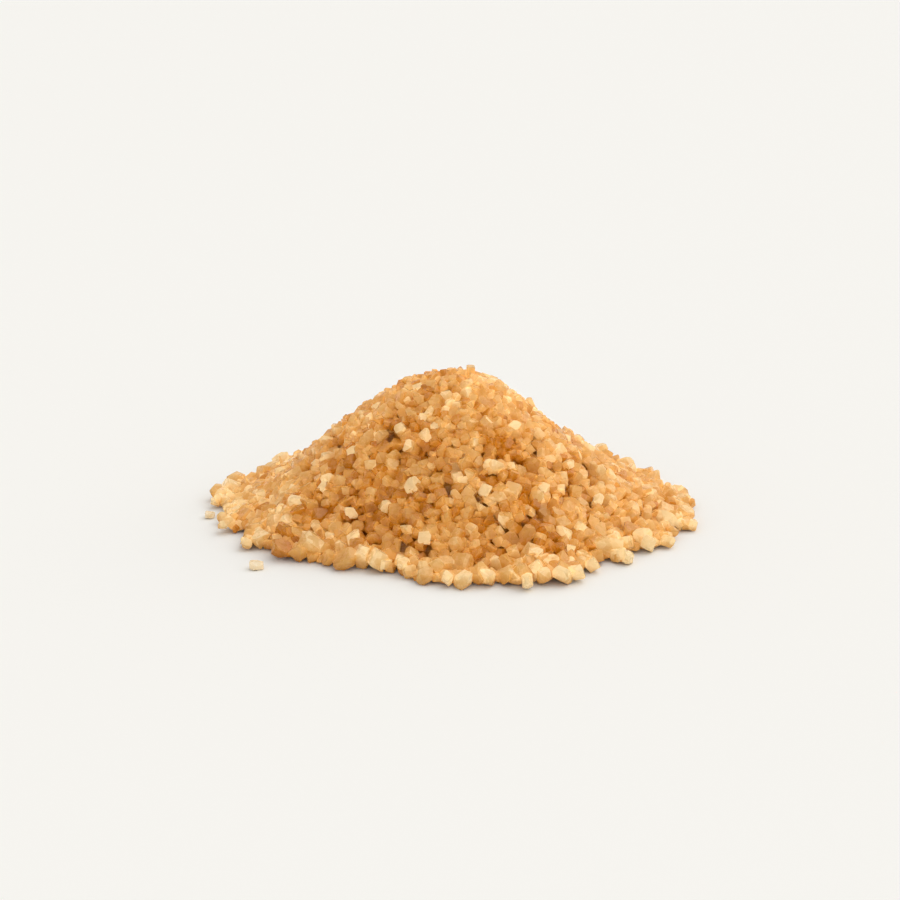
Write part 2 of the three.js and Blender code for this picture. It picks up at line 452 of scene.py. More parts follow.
@dataclass
class CrystalCrowd:
    """Many crystals joined into one mesh.

    Attributes:
        name: Name of the piece.
        form: The heap's form, for how deep each corner lies in it, which sets its painted light and
            shade.
        templates: The shapes that the crystals share.
    """

    name: str
    form: HeapForm
    templates: list[Solid]

    def build(
        self,
        places: np.ndarray,
        sizes: np.ndarray,
        turns: np.ndarray,
        tints: np.ndarray,
        shapes: np.ndarray,
        rng: np.random.Generator,
    ) -> bpy.types.Object:
        """Set a crystal at every place.

        A corner of a crystal is its place plus its size times its turn of the shape's corner.
        A crystal that reaches through the table is lifted until its lowest corner is on it.
        Each face gets a number of its own, because each looks into another part of the heap.

        Args:
            places: Middles of the crystals, in mm.
            sizes: Their radii, in mm.
            turns: Their rotation matrices.
            tints: Where each crystal's colour lies, from deep at 0 to pale at 1.
            shapes: The number of each crystal's template.
            rng: Source of the faces' numbers.

        Returns:
            The joined mesh.
        """
        corners, triangles, corner_tints, face_values = [], [], [], []
        offset = 0
        for number, template in enumerate(self.templates):
            chosen = np.flatnonzero(shapes == number)
            turned = np.einsum("nij,vj->nvi", turns[chosen], template.corners)
            placed = places[chosen, None, :] + sizes[chosen, None, None] * turned
            placed[..., 2] -= np.minimum(placed[..., 2].min(axis=1, keepdims=True), 0.0)
            step = len(template.corners)
            starts = offset + step * np.arange(len(chosen))
            corners.append(placed.reshape(-1, 3))
            triangles.append((starts[:, None, None] + template.triangles[None]).reshape(-1, 3))
            corner_tints.append(np.repeat(tints[chosen], step))
            values = rng.uniform(size=(len(chosen), template.faces.max() + 1))
            face_values.append(values[:, template.faces].ravel())
            offset += step * len(chosen)
        all_corners = np.concatenate(corners)
        # Each corner's tint gets painted light at the thin foot and painted shade deep in the gaps.
        made = mesh_object(
            self.name,
            all_corners,
            np.concatenate(triangles),
            {"tint": np.concatenate(corner_tints) + self.form.painted_glow_and_shade(all_corners)},
            {"facet": np.concatenate(face_values)},
        )
        log.info("%s: %d crystals, %d triangles", self.name, len(places), len(made.data.polygons))
        return made


# ---- Packing --------------------------------------------------------------------------------


@dataclass
class LooseBed:
    """Crystals as they come to rest over the core, each one a ball until it is shaped.

    Balls are strewn through the heap's outer layer. Then they are drawn a little down the
    inside of the slope and pushed apart where they overlap, over and over, and kept above the
    surface that the heap lies on, outside the core and inside the foot.

    Attributes:
        form: The heap's form.
        depth: Thickness of the loose layer, in mm.
        radius: A usual crystal's radius, in mm.
        variety: Spread of the radii, as a share.
        extremes: Smallest and largest radius at a height, as shares of the usual one there.
        coarseness: Usual size by height in mm, as a share: large ones roll down to the foot.
        tries: How many places the scatter chooses from.
        margin: How far inside the foot those places lie, in mm.
        fill: Share of the layer's space that is crystal.
        rounds: How many times the balls are pushed apart.
        search: Every how many rounds the near pairs are found again.
        search_reach: How far apart the balls of a near pair may be, in largest radii.
        push: Share of an overlap that each ball of a pair gives way by.
        sinking: How far a ball is drawn inwards each round, in mm.
        sinking_share: Share of the rounds in which balls are drawn inwards.
        proud: How far a ball may stand out of the heap's surface, or less than nothing where it
            has to lie under it, in mm.
        straggle: How far crystals at the foot may lie inside or outside of it, in mm.
        near_foot: How near to the foot's line a ball's middle may come, in radii.
        near_core: How near to the core it may come, in radii.
        near_table: How near to the table it may come, in radii.
        bays: Round bites out of the foot with no crystals in them: place and radius.
        seed: Seed of the scatter.
    """

    form: HeapForm
    depth: float = 2.15
    radius: float = 0.51
    variety: float = 0.23
    extremes: tuple[float, float] = (0.5, 1.4)
    coarseness: tuple[tuple[float, ...], tuple[float, ...]] = (
        (0.0, 2.0, 6.5, 16.0),
        (1.28, 1.1, 1.0, 0.84),
    )
    tries: int = 400_000
    margin: float = 0.4
    fill: float = 0.62
    rounds: int = 140
    search: int = 6
    search_reach: float = 2.1
    push: float = 0.42
    sinking: float = 0.02
    sinking_share: float = 0.75
    proud: float = -0.04
    straggle: tuple[float, float] = (-1.9, 0.0)
    near_foot: float = 0.35
    near_core: float = 0.6
    near_table: float = 0.78
    bays: tuple[tuple[float, float, float], ...] = ((-25.3, -2.6, 1.5), (26.6, -2.8, 1.0))
    seed: int = 9

    def settle(self) -> tuple[np.ndarray, np.ndarray]:
        """Strew and settle the balls.

        Returns:
            Their middles and their radii, in mm.
        """
        rng = np.random.default_rng(self.seed)
        places = self._strewn(rng)
        radii = self._radii(places, rng)
        beyond = rng.uniform(*self.straggle, len(places))
        for number in range(self.rounds):
            if number % self.search == 0:
                pairs = self._near_pairs(places, self.search_reach * radii.max())
            drawn = self.sinking if number < self.sinking_share * self.rounds else 0.0
            places = places - drawn * self.form.normals(places[:, 0], places[:, 1])
            places = self._pushed_apart(places, radii, pairs)
            places = self._kept_in(places, radii, beyond)
        bays = np.array(self.bays)
        apart = np.linalg.norm(places[:, None, :2] - bays[None, :, :2], axis=2)
        kept = (apart > bays[:, 2]).all(axis=1)
        return places[kept], radii[kept]

    def _strewn(self, rng: np.random.Generator) -> np.ndarray:
        """Places all through the loose layer, as many as fill it."""
        width = 2 * self.form.reach
        x, y = rng.uniform(-self.form.reach, self.form.reach, (2, self.tries))
        inside = np.hypot(x, y) < self.form.foot_radius(np.arctan2(y, x)) - self.margin
        x, y = x[inside], y[inside]
        height = self.form.height(x, y)
        thickness = np.minimum(height, self.depth)
        ball = 4.0 / 3.0 * math.pi * self.radius**3 * (1 + 3 * self.variety**2)
        share = thickness / np.interp(height, *self.coarseness) ** 3
        count = int(share.sum() / self.tries * width**2 * self.fill / ball)
        chosen = rng.choice(len(x), count, replace=False, p=share / share.sum())
        z = height[chosen] - rng.uniform(0.0, 1.0, count) * thickness[chosen]
        return np.column_stack([x[chosen], y[chosen], z])

    def _radii(self, places: np.ndarray, rng: np.random.Generator) -> np.ndarray:
        """Radii of the balls at these places."""
        spread = np.exp(self.variety * rng.normal(size=len(places)))
        usual = self.radius * np.interp(places[:, 2], *self.coarseness)
        return usual * np.clip(spread, *self.extremes)

    @staticmethod
    def _near_pairs(places: np.ndarray, reach: float) -> tuple[np.ndarray, np.ndarray]:
        """Pairs of balls nearer than a reach.

        Balls are sorted into cubic cells as wide as the reach, and each cell is searched
        together with half of its neighbours, so that a pair is found once.

        Args:
            places: Middles of the balls.
            reach: The greatest distance between two balls of a pair.

        Returns:
            Two arrays of ball numbers.
        """
        cells = np.floor(places / reach).astype(np.int64)
        cells -= cells.min(axis=0) - 1
        strides = np.array([1, 1000, 1_000_000])
        keys = cells @ strides
        order = np.argsort(keys, kind="stable")
        sorted_keys = keys[order]
        firsts, seconds = [], []
        for step in itertools.product((-1, 0, 1), repeat=3):
            shift = int(np.dot(step, strides))
            if shift < 0:
                continue
            low = np.searchsorted(sorted_keys, keys + shift, side="left")
            high = np.searchsorted(sorted_keys, keys + shift, side="right")
            counts = high - low
            first = np.repeat(np.arange(len(places)), counts)
            run = np.arange(counts.sum()) - np.repeat(np.cumsum(counts) - counts, counts)
            second = order[np.repeat(low, counts) + run]
            near = np.linalg.norm(places[first] - places[second], axis=1) < reach
            near &= (first < second) if shift == 0 else True
            firsts.append(first[near])
            seconds.append(second[near])
        return np.concatenate(firsts), np.concatenate(seconds)

    def _pushed_apart(
        self, places: np.ndarray, radii: np.ndarray, pairs: tuple[np.ndarray, np.ndarray]
    ) -> np.ndarray:
        """Move each ball of an overlapping pair away by a share of the overlap."""
        first, second = pairs
        between = places[second] - places[first]
        distance = np.maximum(np.linalg.norm(between, axis=1), 1e-6)
        overlap = np.maximum(radii[first] + radii[second] - distance, 0.0)
        push = between * (self.push * overlap / distance)[:, None]
        moved = places.copy()
        for axis in range(3):
            moved[:, axis] += np.bincount(second, push[:, axis], len(places))
            moved[:, axis] -= np.bincount(first, push[:, axis], len(places))
        return moved

    def _kept_in(self, places: np.ndarray, radii: np.ndarray, beyond: np.ndarray) -> np.ndarray:
        """Put balls back above the table, outside the core and inside the foot."""
        x, y, z = places.T
        angle = np.arctan2(y, x)
        limit = self.form.foot_radius(angle) - self.near_foot * radii + beyond
        inwards = np.minimum(1.0, limit / np.maximum(np.hypot(x, y), 1e-6))
        x, y = x * inwards, y * inwards
        height = self.form.height(x, y)
        z = np.minimum(z, height + self.proud - radii)
        z = np.maximum(z, height - self.depth + self.near_core * radii)
        z = np.maximum(z, self.near_table * radii)
        return np.column_stack([x, y, z])


# ---- Finishes -------------------------------------------------------------------------------


def add_node(
    tree: bpy.types.NodeTree,
    kind: str,
    settings: dict[str, object] | None = None,
    values: dict[str, object] | None = None,
    links: dict[str, bpy.types.NodeSocket] | None = None,
) -> bpy.types.Node:
    """Add a node with its settings, socket values and incoming links.

    Args:
        tree: The node tree.
        kind: The node's type name.
        settings: Properties of the node.
        values: Values of its input sockets, by name.
        links: Output sockets that feed its input sockets, by name.

    Returns:
        The new node.
    """
    made = tree.nodes.new(kind)
    for name, setting in (settings or {}).items():
        setattr(made, name, setting)
    for name, value in (values or {}).items():
        made.inputs[name].default_value = value
    for name, source in (links or {}).items():
        tree.links.new(source, made.inputs[name])
    return made


@dataclass(frozen=True)
class SugarCrystalFinish:
    """Cane sugar crystals, grown from syrup and still filmed with a little of it.

    The crystal lets light in and scatters it, so thick heaps glow amber while thin edges
    pale. Its flat faces glint, and the film makes some of them duller.

    Attributes:
        name: Name of the material.
        stained, deep, golden, light, pale: Colours along the tint, from syrup to nearly clear.
        facet_share: How far one face's tint strays from the next.
        patch_share: How far a patch's tint strays, seen through a face from the crystals behind.
        patch_mm: Width of such a patch, in mm.
        drift_share: How far the tint drifts over the heap, as damper sugar looks deeper.
        drift_mm: Width of that drift, in mm.
        film_mm: Width of the film's thick and thin places, in mm. The real ones are finer, and
            these are as wide as they need to be to show.
        film_range: Thickness of the film where faces are smoothest and roughest, from 0 to 1.
        film_relief_mm: Height of the relief that the film makes, in mm.
        roughness: Lowest and highest roughness of the faces.
        scatter_mm: How far light spreads inside, in mm.
        scatter_radius: The same for red, green and blue, as shares.
        ior: Sucrose's index of refraction.
        specular: How strongly the faces glint, less than bare ones for the film on them.
    """

    name: str
    stained: str = "#A2600A"
    deep: str = "#B87626"
    golden: str = "#CC944A"
    light: str = "#D7AA68"
    pale: str = "#E8CA96"
    facet_share: float = 0.22
    patch_share: float = 0.22
    patch_mm: float = 0.62
    drift_share: float = 0.5
    drift_mm: float = 5.0
    film_mm: float = 0.6
    film_range: tuple[float, float] = (0.35, 0.65)
    film_relief_mm: float = 0.04
    roughness: tuple[float, float] = (0.1, 0.42)
    scatter_mm: float = 2.5
    scatter_radius: tuple[float, float, float] = (1.0, 0.93, 0.86)
    ior: float = 1.54
    specular: float = 0.34

    def material(self) -> bpy.types.Material:
        """Make the material."""
        made = bpy.data.materials.new(self.name)
        made.use_nodes = True
        tree = made.node_tree
        tree.nodes.clear()
        place = add_node(tree, "ShaderNodeTexCoord").outputs["Object"]
        tint, facet = (
            add_node(tree, "ShaderNodeAttribute", {"attribute_name": name}).outputs["Fac"]
            for name in ("tint", "facet")
        )
        patch = add_node(
            tree,
            "ShaderNodeTexVoronoi",
            values={"Scale": 1 / (self.patch_mm * MM)},
            links={"Vector": place},
        ).outputs["Color"]
        drift = add_node(
            tree,
            "ShaderNodeTexNoise",
            values={"Scale": 1 / (self.drift_mm * MM), "Detail": 2.0},
            links={"Vector": place},
        ).outputs["Fac"]
        stray = tint
        for source, share in (
            (facet, self.facet_share),
            (patch, self.patch_share),
            (drift, self.drift_share),
        ):
            scaled = add_node(
                tree,
                "ShaderNodeMath",
                {"operation": "MULTIPLY_ADD"},
                {1: share, 2: -0.5 * share},
                {0: source},
            ).outputs[0]
            stray = add_node(
                tree, "ShaderNodeMath", {"operation": "ADD"}, links={0: stray, 1: scaled}
            ).outputs[0]
        ramp = add_node(tree, "ShaderNodeValToRGB", links={"Fac": stray})
        stops = ramp.color_ramp.elements
        stops[0].position, stops[0].color = 0.0, linear(self.stained)
        stops[1].position, stops[1].color = 1.0, linear(self.pale)
        for position, colour in ((0.25, self.deep), (0.5, self.golden), (0.8, self.light)):
            stops.new(position).color = linear(colour)
        film = add_node(
            tree,
            "ShaderNodeTexNoise",
            values={"Scale": 1 / (self.film_mm * MM), "Detail": 3.0, "Roughness": 0.6},
            links={"Vector": place},
        ).outputs["Fac"]
        roughness = add_node(
            tree,
            "ShaderNodeMapRange",
            values=dict(enumerate(self.film_range + self.roughness, start=1)),
            links={0: film},
        ).outputs[0]
        relief = add_node(
            tree,
            "ShaderNodeBump",
            values={"Strength": 0.25, "Distance": self.film_relief_mm * MM},
            links={"Height": film},
        ).outputs["Normal"]
        shader = add_node(
            tree,
            "ShaderNodeBsdfPrincipled",
            {"subsurface_method": "BURLEY"},
            {
                "IOR": self.ior,
                "Specular IOR Level": self.specular,
                "Subsurface Weight": 1.0,
                "Subsurface Radius": self.scatter_radius,
                "Subsurface Scale": self.scatter_mm * MM,
            },
            {"Base Color": ramp.outputs["Color"], "Roughness": roughness, "Normal": relief},
        )
        add_node(tree, "ShaderNodeOutputMaterial", links={"Surface": shader.outputs["BSDF"]})
        return made


@dataclass(frozen=True)
class StudioFloor:
    """Matt white laminate, which bounces soft light up under the heap.

    Attributes:
        name: Name of the material.
        colour: Its colour.
        roughness: How dull it is.
        specular: How little it glints.
    """

    name: str = "white_laminate"
    colour: str = "#FAFAF9"
    roughness: float = 0.9
    specular: float = 0.1

    def material(self) -> bpy.types.Material:
        """Make the material."""
        made = bpy.data.materials.new(self.name)
        made.use_nodes = True
        shader = made.node_tree.nodes["Principled BSDF"]
        shader.inputs["Base Color"].default_value = linear(self.colour)
        shader.inputs["Roughness"].default_value = self.roughness
        shader.inputs["Specular IOR Level"].default_value = self.specular
        return made


# ---- Sub-assemblies -------------------------------------------------------------------------


@dataclass
class Core:
    """The inside of the heap, which only shows in the gaps between crystals.

    Its surface is the heap's, sunk by the depth of the loose layer, and broken into tilted
    facets as wide as a crystal.

    Attributes:
        form: The heap's form.
        sunk: Depth under the heap's surface, in mm.
        inset: Distance inside the heap's foot, in mm.
        rings: Rows of points from the top to the foot.
        spokes: Points in a row.
        facet: Width of a facet, in mm.
        tilt: Usual slope of a facet against the heap's.
        rise: How far a facet stands out or lies back, in mm.
        scatter: Where in its cell a facet's middle may lie, from and to.
        bottom: Height of its underside, in mm.
        thinnest: Lowest height of its top, in mm.
        tint: Where its colour lies, from deep at 0 to nearly clear at 1.
        seed: Seed of the facets.
    """

    form: HeapForm
    sunk: float = 1.5
    inset: float = 1.9
    rings: int = 110
    spokes: int = 330
    facet: float = 1.3
    tilt: float = 0.45
    rise: float = 0.35
    scatter: tuple[float, float] = (0.15, 0.85)
    bottom: float = 0.1
    thinnest: float = 0.3
    tint: float = 0.5
    seed: int = 3

    def build(self) -> bpy.types.Object:
        """Make the core as one closed mesh.

        A point's place is its ring's share of the foot's radius, along its spoke. Its height
        is the heap's less the sinking, plus that of the plane of the facet that it is in.

        Returns:
            The core.
        """
        angles = TURN * np.arange(self.spokes) / self.spokes
        outwards = np.arange(1, self.rings + 1) / self.rings
        radius = outwards[:, None] * (self.form.foot_radius(angles) - self.inset)[None, :]
        x, y = radius * np.cos(angles), radius * np.sin(angles)
        x, y = np.append(x.ravel(), 0.0), np.append(y.ravel(), 0.0)
        z = self.form.height(x, y) - self.sunk + self._facets(x, y)
        z = np.maximum(z, self.thinnest)
        rim_x, rim_y = x[-1 - self.spokes : -1], y[-1 - self.spokes : -1]
        corners = np.concatenate(
            [
                np.column_stack([x, y, z]),
                np.column_stack([rim_x, rim_y, np.full(self.spokes, self.bottom)]),
                [[0.0, 0.0, self.bottom]],
            ]
        )
        # The core's own tint, plus painted light at the foot and painted shade under the surface.
        tints = self.tint + self.form.painted_glow_and_shade(corners)
        made = mesh_object("sugar_core", corners, self._triangles(), {"tint": tints})
        log.info("sugar_core: %d triangles", len(made.data.polygons))
        return made

    def _facets(self, x: np.ndarray, y: np.ndarray) -> np.ndarray:
        """Heights of the facets' planes over places, where each place is in the nearest facet.

        The facets' middles are strewn one to a cell, so the nearest is in one of nine cells.

        Args:
            x: Places along X, in mm.
            y: Places along Y, in mm.

        Returns:
            The height of each place's plane, in mm.
        """
        rng = np.random.default_rng(self.seed)
        count = int(2 * self.form.reach / self.facet) + 4
        seeds = rng.uniform(*self.scatter, (count, count, 2))
        tilts = rng.normal(scale=self.tilt, size=(count, count, 2))
        rises = rng.uniform(-self.rise, self.rise, (count, count))
        across = (x + self.form.reach) / self.facet + 1
        along = (y + self.form.reach) / self.facet + 1
        i, j = across.astype(int), along.astype(int)
        heights = np.zeros_like(x)
        nearest = np.full_like(x, np.inf)
        for di, dj in itertools.product((-1, 0, 1), repeat=2):
            u = across - (i + di) - seeds[i + di, j + dj, 0]
            v = along - (j + dj) - seeds[i + di, j + dj, 1]
            tilt = tilts[i + di, j + dj]
            plane = rises[i + di, j + dj] + self.facet * (tilt[:, 0] * u + tilt[:, 1] * v)
            distance = np.hypot(u, v)
            heights = np.where(distance < nearest, plane, heights)
            nearest = np.minimum(distance, nearest)
        return heights

    def _triangles(self) -> np.ndarray:
        """Corner numbers: the top's fan, the slope's rows, the short wall and the bottom."""
        around = np.arange(self.spokes)
        ahead = (around + 1) % self.spokes
        top = self.rings * self.spokes
        starts = self.spokes * np.arange(self.rings - 1)[:, None]
        inner, inner_next = (starts + around).ravel(), (starts + ahead).ravel()
        outer, outer_next = inner + self.spokes, inner_next + self.spokes
        rim, rim_next = top - self.spokes + around, top - self.spokes + ahead
        low, low_next = top + 1 + around, top + 1 + ahead
        bottom = np.full(self.spokes, top + 1 + self.spokes)
        peak = np.full(self.spokes, top)
        return np.concatenate(
            [
                np.column_stack([peak, around, ahead]),
                np.column_stack([inner, outer, outer_next]),
                np.column_stack([inner, outer_next, inner_next]),
                np.column_stack([rim, low, low_next]),
                np.column_stack([rim, low_next, rim_next]),
                np.column_stack([bottom, low_next, low]),
            ]
        )


@dataclass(frozen=True)
class PlacedCrystals:
    """Crystals with places of their own.

    Attributes:
        places: x, y and width of each, in mm.
        tint: Where their colours lie, from deep at 0 to nearly clear at 1.
        sunk: How deep their middles lie under the surface, as a share of their widths.
        uneven: Whether only the least regular habits are among them.
    """

    places: tuple[tuple[float, float, float], ...] | np.ndarray
    tint: float
    sunk: float
    uneven: bool = False


BIG = PlacedCrystals(
    (
        (-17.0, -12.6, 2.7), (-14.3, -16.0, 2.5), (-17.4, -15.6, 2.1), (-10.7, -18.6, 2.0),
        (18.6, -12.2, 2.0), (-22.3, -5.6, 1.7),
    ),
    tint=0.42,
    sunk=0.25,
    uneven=True,
)
PERCHED = PlacedCrystals(
    (
        (2.0, 0.8, 1.2), (8.6, 2.5, 1.3), (12.6, 3.4, 1.3), (14.0, 3.6, 1.3),
    ),
    tint=0.62,
    sunk=-0.12,
)
# Pale grains on the shaded side, tinted paler than the others as painted light that lifts their
# shade.
PALE_PAINTED_LIT = PlacedCrystals(
    (
        (-3.9, -11.8, 1.7), (-13.4, -8.5, 1.5), (-10.5, -12.6, 1.4), (-4.5, -7.9, 1.2),
        (-2.8, -17.6, 1.7), (-16.4, -9.1, 1.5),
    ),
    tint=1.15,
    sunk=0.22,
)
BRIGHT = PlacedCrystals(
    (
        (-5.3, -6.1, 1.5), (-10.0, -15.2, 1.6), (-7.4, -6.0, 1.3), (-18.2, -9.0, 1.1),
        (3.7, -6.7, 1.2), (1.7, -2.2, 1.0), (4.5, -11.6, 1.5), (3.4, -13.5, 1.4),
        (5.4, -16.2, 1.5), (13.2, -14.3, 1.4), (15.6, -4.9, 1.6), (8.7, -12.7, 1.6),
        (6.5, -5.8, 1.4), (8.4, -19.1, 1.6),
    ),
    tint=0.8,
    sunk=0.3,
)
# Painted light: these one-deep crystals are tinted pale for the white floor shining through them.
FRINGE = PlacedCrystals(
    (
        (-4.8, -20.1, 1.5), (-6.6, -19.6, 1.4), (-0.4, -23.3, 1.3), (1.2, -23.6, 1.7),
        (3.4, -22.9, 1.6), (6.2, -22.9, 1.6), (7.5, -24.4, 1.6), (9.1, -22.8, 1.5),
        (10.9, -23.2, 1.9), (12.6, -22.4, 1.5), (14.3, -19.4, 1.5), (16.9, -16.6, 1.5),
        (18.3, -17.5, 1.4), (20.6, -14.6, 1.5), (22.3, -13.0, 1.5), (24.8, -7.4, 1.4),
        (26.0, -8.0, 1.1), (25.6, -0.4, 1.4), (26.5, -0.8, 1.0), (25.1, 3.0, 1.3),
        (26.1, 3.6, 1.1), (-25.5, -0.2, 1.2), (-26.3, -0.9, 1.0), (-24.9, 2.8, 1.2),
        (-25.4, 4.4, 1.0), (-23.6, -8.0, 1.3), (-24.4, -8.7, 1.1), (-21.2, -14.2, 1.1),
    ),
    tint=0.88,
    sunk=0.3,
    uneven=True,
)


@dataclass
class LooseCrystals:
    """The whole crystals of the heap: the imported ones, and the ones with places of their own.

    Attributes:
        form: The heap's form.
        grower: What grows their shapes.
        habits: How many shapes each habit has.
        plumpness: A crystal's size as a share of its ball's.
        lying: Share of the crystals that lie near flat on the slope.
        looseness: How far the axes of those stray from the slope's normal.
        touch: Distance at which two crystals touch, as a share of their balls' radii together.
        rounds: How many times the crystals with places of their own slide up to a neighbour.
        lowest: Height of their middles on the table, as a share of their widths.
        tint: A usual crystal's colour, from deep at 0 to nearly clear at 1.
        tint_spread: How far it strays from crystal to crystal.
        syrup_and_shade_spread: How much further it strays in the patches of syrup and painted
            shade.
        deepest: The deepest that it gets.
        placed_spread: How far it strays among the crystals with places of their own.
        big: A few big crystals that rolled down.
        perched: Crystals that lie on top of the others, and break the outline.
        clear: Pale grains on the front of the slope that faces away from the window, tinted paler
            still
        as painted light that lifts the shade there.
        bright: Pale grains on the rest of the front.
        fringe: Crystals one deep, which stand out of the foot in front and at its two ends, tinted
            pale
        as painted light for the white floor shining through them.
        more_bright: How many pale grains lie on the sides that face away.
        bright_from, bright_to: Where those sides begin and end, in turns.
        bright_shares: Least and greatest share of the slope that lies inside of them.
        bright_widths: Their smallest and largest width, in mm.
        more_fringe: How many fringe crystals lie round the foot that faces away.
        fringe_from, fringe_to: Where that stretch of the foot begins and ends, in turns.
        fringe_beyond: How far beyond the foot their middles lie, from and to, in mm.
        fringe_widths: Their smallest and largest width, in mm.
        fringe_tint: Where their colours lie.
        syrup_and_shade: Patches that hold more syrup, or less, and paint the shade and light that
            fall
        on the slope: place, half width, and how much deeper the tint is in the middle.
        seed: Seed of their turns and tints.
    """

    form: HeapForm
    grower: CrystalGrower
    habits: tuple[tuple[Habit, int], ...] = (
        (Habit.BLOCK, 12),
        (Habit.PRISM, 6),
        (Habit.TABLET, 2),
        (Habit.WEDGE, 8),
        (Habit.CHIP, 14),
    )
    plumpness: float = 1.2
    lying: float = 0.2
    looseness: float = 0.3
    touch: float = 0.88
    rounds: int = 3
    lowest: float = 0.42
    tint: float = 0.7
    tint_spread: float = 0.13
    syrup_and_shade_spread: float = 0.45
    deepest: float = 0.15
    placed_spread: float = 0.15
    big: PlacedCrystals = BIG
    perched: PlacedCrystals = PERCHED
    clear: PlacedCrystals = PALE_PAINTED_LIT
    bright: PlacedCrystals = BRIGHT
    fringe: PlacedCrystals = FRINGE
    more_bright: int = 70
    bright_from: float = -0.05
    bright_to: float = 0.55
    bright_shares: tuple[float, float] = (0.02, 0.92)
    bright_widths: tuple[float, float] = (1.0, 1.6)
    more_fringe: int = 26
    fringe_from: float = 0.08
    fringe_to: float = 0.4
    fringe_beyond: tuple[float, float] = (-1.1, 0.2)
    fringe_widths: tuple[float, float] = (1.0, 1.5)
    fringe_tint: float = 0.5
    syrup_and_shade: tuple[tuple[float, float, float, float], ...] = (
        (-6.5, -12.8, 4.0, 0.38), (-1.5, -12.5, 2.4, 0.16), (1.6, -16.6, 3.0, 0.26),
        (9.1, -16.2, 3.1, 0.42), (5.0, -11.5, 2.8, 0.2), (5.7, -8.5, 3.4, 0.22),
        (13.1, -9.1, 2.5, 0.18), (-2.0, -6.0, 4.6, 0.09), (-13.0, -9.2, 3.0, 0.26),
        (-9.2, -7.4, 3.0, 0.38), (-20.3, -6.9, 2.5, 0.26), (14.0, -1.0, 4.0, 0.14),
        (-9.3, 0.8, 2.8, 0.24), (-2.5, -1.8, 3.4, 0.12), (-20.5, -11.0, 3.8, -0.05),
        (-25.4, -2.5, 3.2, -0.16), (-15.0, -15.0, 3.5, 0.14), (22.0, -9.0, 4.0, -0.06),
        (14.8, -14.8, 3.2, 0.14), (8.0, 11.0, 4.5, 0.2), (-9.0, 9.0, 4.0, 0.24),
        (-2.0, 17.0, 4.0, 0.16), (17.0, 6.0, 3.5, 0.14), (-17.0, 5.0, 3.5, 0.12),
    )
    seed: int = 20

    def build(self) -> bpy.types.Object:
        """Settle the crystals, add the ones with places of their own and join them all."""
        rng = np.random.default_rng(self.seed)
        places, radii = LooseBed(self.form).settle()
        count = len(places)
        syrup_and_shade = self._syrup_and_shade_at(places)
        strays = rng.normal(size=count)
        # The patches deepen the tint for syrup and for painted shade, and pale it as painted light
        # where they are less than nothing.
        tints = self.tint - syrup_and_shade + (self.tint_spread + self.syrup_and_shade_spread * syrup_and_shade) * strays
        tints = np.maximum(tints, self.deepest)
        lying = rng.uniform(size=count) < self.lying
        kinds = [habit for habit, shapes in self.habits for _ in range(shapes)]
        every = np.arange(len(kinds))
        uneven = np.flatnonzero([habit in (Habit.WEDGE, Habit.CHIP) for habit in kinds])
        shapes = rng.choice(every, count)
        more_bright, more_fringe = self._more_bright(rng), self._more_fringe(rng)
        for group in (self.big, self.perched, self.clear, more_bright, self.fringe, more_fringe):
            added, added_radii = self._placed(group)
            added = self._slid_up(added, added_radii, places, radii)
            shapes = np.append(shapes, rng.choice(uneven if group.uneven else every, len(added)))
            places, radii = np.vstack([places, added]), np.append(radii, added_radii)
            strays = rng.normal(size=len(added))
            tints = np.append(tints, group.tint + self.placed_spread * strays)
            lying = np.append(lying, rng.uniform(size=len(added)) < self.lying)
        turns = np.where(
            lying[:, None, None],
            self._lying_turns(places, rng),
            turns_to(any_axes(rng, len(places)), rng.uniform(0.0, TURN, len(places))),
        )
        templates = [self.grower.grow(habit, rng) for habit in kinds]
        crowd = CrystalCrowd("loose_crystals", self.form, templates)
        return crowd.build(places, self.plumpness * radii, turns, tints, shapes, rng)

    def _placed(self, group: PlacedCrystals) -> tuple[np.ndarray, np.ndarray]:
        """Middles and ball radii of crystals with places of their own.

        Args:
            group: The crystals.

        Returns:
            Their middles on the slope or on the table, and their balls' radii.
        """
        x, y, width = np.array(group.places).T
        height = np.maximum(self.form.height(x, y) - group.sunk * width, self.lowest * width)
        return np.column_stack([x, y, height]), 0.5 * width / self.plumpness

    def _slid_up(
        self, added: np.ndarray, added_radii: np.ndarray, places: np.ndarray, radii: np.ndarray
    ) -> np.ndarray:
        """Slide crystals level until each touches the nearest one, so that none lies apart.

        Args:
            added: Middles of the crystals to slide.
            added_radii: Their balls' radii.
            places: Middles of the crystals that stay.
            radii: Their balls' radii.

        Returns:
            The middles after the last round of sliding.
        """
        rows = np.arange(len(added))
        reach = self.touch * (np.append(radii, added_radii)[None, :] + added_radii[:, None])
        for _ in range(self.rounds):
            across = np.vstack([places, added])[None, :, :] - added[:, None, :]
            gaps = np.linalg.norm(across, axis=2) - reach
            gaps[rows, len(places) + rows] = np.inf
            nearest = gaps.argmin(axis=1)
            level = units(across[rows, nearest] * (1.0, 1.0, 0.0) + 1e-9)
            added = added + np.maximum(gaps[rows, nearest], 0.0)[:, None] * level
        return added

    def _syrup_and_shade_at(self, places: np.ndarray) -> np.ndarray:
        """How much deeper the tint is at places: a bell round each patch of syrup and painted
        shade.
        """
        patches = np.array(self.syrup_and_shade)
        apart = np.linalg.norm(places[:, None, :2] - patches[None, :, :2], axis=2)
        return np.exp(-((apart / patches[:, 2]) ** 2)) @ patches[:, 3]

    def _lying_turns(self, places: np.ndarray, rng: np.random.Generator) -> np.ndarray:
        """Turns of crystals that lie near flat on the slope, each spun any way."""
        slope = self.form.normals(places[:, 0], places[:, 1])
        axes = units(slope + self.looseness * rng.normal(size=slope.shape))
        return turns_to(axes, rng.uniform(0.0, TURN, len(places)))

